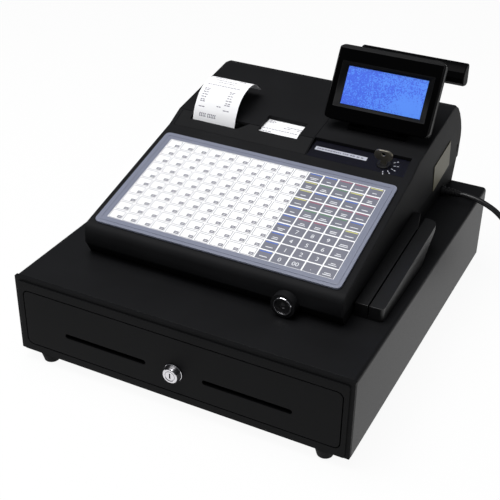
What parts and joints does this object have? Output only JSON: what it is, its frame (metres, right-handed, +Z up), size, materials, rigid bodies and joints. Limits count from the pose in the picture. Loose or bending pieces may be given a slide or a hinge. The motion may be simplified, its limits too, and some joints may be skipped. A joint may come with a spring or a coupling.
{
  "type": "electronic cash register",
  "caption": "Desktop cash register: sloping flat keyboard, receipt and journal printer, tilting display and rear customer display on a wide cash drawer, with a coiled mains lead.",
  "frame": {"origin": "on the counter, under the middle of the register and drawer without the mains lead", "axes": "+X to the operator's right, +Y away from the operator, +Z up"},
  "size_m": [0.6173, 0.4911, 0.3062],
  "materials": {
    "black_sheet": "textured satin paint",
    "black_plastic": "fine texture",
    "display_plastic": "satin",
    "galvanised_steel": "zinc plated",
    "chrome": "polished",
    "till_plastic": "fine texture",
    "rubber": "matte",
    "keyboard_film": "clear cover over grey",
    "key_print": "printed sheet",
    "panel_film": "dotted dark blue film",
    "paper": "plain",
    "lcd": "backlit blue panel",
    "smoked_window": "smoked",
    "key_brass": "nickelled",
    "plate": "plain",
    "circuit_board": "board"
  },
  "bodies": {
    "base": {"drawer_case": "black_sheet", "drawer_bottom": "black_sheet", "front_bezel": "black_plastic", "rail_left": "galvanised_steel", "rail_right": "galvanised_steel", "latch_solenoid": "galvanised_steel", "foot_front_left": "rubber", "foot_front_right": "rubber", "foot_rear_left": "rubber", "foot_rear_right": "rubber", "base_housing": "black_plastic", "top_housing": "black_plastic", "printer_front_panel": "black_plastic", "printer_frame": "black_plastic", "journal_paper": "paper", "keyboard_cover": "keyboard_film", "key_membrane": "key_print", "key_plate": "galvanised_steel", "control_panel": "panel_film", "mode_lock_barrel": "display_plastic", "display_neck": "display_plastic", "card_reader_inner": "black_plastic", "card_reader_outer": "black_plastic", "key_reader_ring": "chrome", "key_reader_core": "display_plastic", "side_plate": "plate", "main_board": "circuit_board", "strain_relief": "rubber", "power_cord": "rubber", "cord_coil": "rubber", "cord_tie": "rubber", "power_plug": "rubber"},
    "latch": {"latch_hook": "galvanised_steel"},
    "drawer": {"drawer_front": "black_sheet", "drawer_tray": "galvanised_steel", "till_insert": "till_plastic", "runner_left": "galvanised_steel", "runner_right": "galvanised_steel", "clip_rod": "galvanised_steel", "drawer_lock_barrel": "chrome"},
    "lock_plug": {"drawer_lock_plug": "chrome"},
    "cover": {"printer_cover": "black_plastic", "receipt_paper": "paper"},
    "receipt_roll": {"receipt_roll": "paper"},
    "journal_roll": {"journal_roll": "paper"},
    "takeup_spool": {"takeup_spool": "black_plastic"},
    "receipt_platen": {"receipt_platen": "rubber"},
    "journal_platen": {"journal_platen": "rubber"},
    "mode_key": {"mode_key": "key_brass"},
    "display": {"display_bezel": "display_plastic", "display_back": "display_plastic", "display_screen": "lcd"},
    "customer_mast": {"customer_display_post": "display_plastic"},
    "customer_head": {"customer_display_head": "display_plastic", "customer_display_window": "smoked_window"},
    "clip_1": {"bill_clip_1": "till_plastic"},
    "clip_2": {"bill_clip_2": "till_plastic"},
    "clip_3": {"bill_clip_3": "till_plastic"},
    "clip_4": {"bill_clip_4": "till_plastic"},
    "clip_5": {"bill_clip_5": "till_plastic"}
  },
  "joints": [
    {"name": "drawer_slide", "type": "slide", "parent": "base", "child": "drawer", "axis": [0, -1, 0], "range_m": [0, 0.33]},
    {"name": "clip_1_hinge", "type": "hinge", "parent": "drawer", "child": "clip_1", "pos_m": [-0.1384, 0.04525, 0.068], "axis": [-1, 0, 0], "range_deg": [0, 45]},
    {"name": "clip_2_hinge", "type": "hinge", "parent": "drawer", "child": "clip_2", "pos_m": [-0.0692, 0.04525, 0.068], "axis": [-1, 0, 0], "range_deg": [0, 45]},
    {"name": "clip_3_hinge", "type": "hinge", "parent": "drawer", "child": "clip_3", "pos_m": [0, 0.04525, 0.068], "axis": [-1, 0, 0], "range_deg": [0, 45]},
    {"name": "clip_4_hinge", "type": "hinge", "parent": "drawer", "child": "clip_4", "pos_m": [0.0692, 0.04525, 0.068], "axis": [-1, 0, 0], "range_deg": [0, 45]},
    {"name": "clip_5_hinge", "type": "hinge", "parent": "drawer", "child": "clip_5", "pos_m": [0.1384, 0.04525, 0.068], "axis": [-1, 0, 0], "range_deg": [0, 45]},
    {"name": "lock_turn", "type": "hinge", "parent": "drawer", "child": "lock_plug", "pos_m": [0, -0.23075, 0.0517], "axis": [0, -1, 0], "range_deg": [0, 90]},
    {"name": "latch_pivot", "type": "hinge", "parent": "base", "child": "latch", "pos_m": [0.052, 0.20375, 0.0825], "axis": [-1, 0, 0], "range_deg": [0, 10]},
    {"name": "printer_cover_hinge", "type": "hinge", "parent": "base", "child": "cover", "pos_m": [-0.064, 0.20725, 0.21], "axis": [-1, 0, 0], "range_deg": [0, 55]},
    {"name": "receipt_roll_spin", "type": "hinge", "parent": "base", "child": "receipt_roll", "pos_m": [-0.105, 0.13525, 0.177], "axis": [1, 0, 0], "continuous": true},
    {"name": "journal_roll_spin", "type": "hinge", "parent": "base", "child": "journal_roll", "pos_m": [-0.02, 0.12725, 0.175], "axis": [1, 0, 0], "continuous": true},
    {"name": "receipt_platen_spin", "type": "hinge", "parent": "base", "child": "receipt_platen", "pos_m": [-0.105, 0.06725, 0.192], "axis": [1, 0, 0], "continuous": true},
    {"name": "journal_platen_spin", "type": "hinge", "parent": "base", "child": "journal_platen", "pos_m": [-0.02, 0.06725, 0.192], "axis": [1, 0, 0], "continuous": true},
    {"name": "takeup_spool_spin", "type": "hinge", "parent": "base", "child": "takeup_spool", "pos_m": [-0.02, 0.17125, 0.196], "axis": [1, 0, 0], "continuous": true},
    {"name": "mode_key_turn", "type": "hinge", "parent": "base", "child": "mode_key", "pos_m": [0.1187, 0.05067, 0.2037], "axis": [0, -0.2453, 0.9694], "range_deg": [-60, 90]},
    {"name": "display_tilt", "type": "hinge", "parent": "base", "child": "display", "pos_m": [0.0908, 0.106, 0.23469], "axis": [1, 0, 0], "range_deg": [-8, 15]},
    {"name": "customer_display_raise", "type": "slide", "parent": "base", "child": "customer_mast", "axis": [0, 0, 1], "range_m": [0, 0.05]},
    {"name": "customer_display_swivel", "type": "hinge", "parent": "customer_mast", "child": "customer_head", "pos_m": [0.089, 0.21925, 0.248], "axis": [0, 0, 1], "range_deg": [-90, 90]}
  ],
  "couplings": [
    {"joint": "receipt_platen_spin", "follows": "receipt_roll_spin", "ratio": 5},
    {"joint": "journal_platen_spin", "follows": "journal_roll_spin", "ratio": 4.6667},
    {"joint": "takeup_spool_spin", "follows": "journal_roll_spin", "ratio": 3.5}
  ]
}
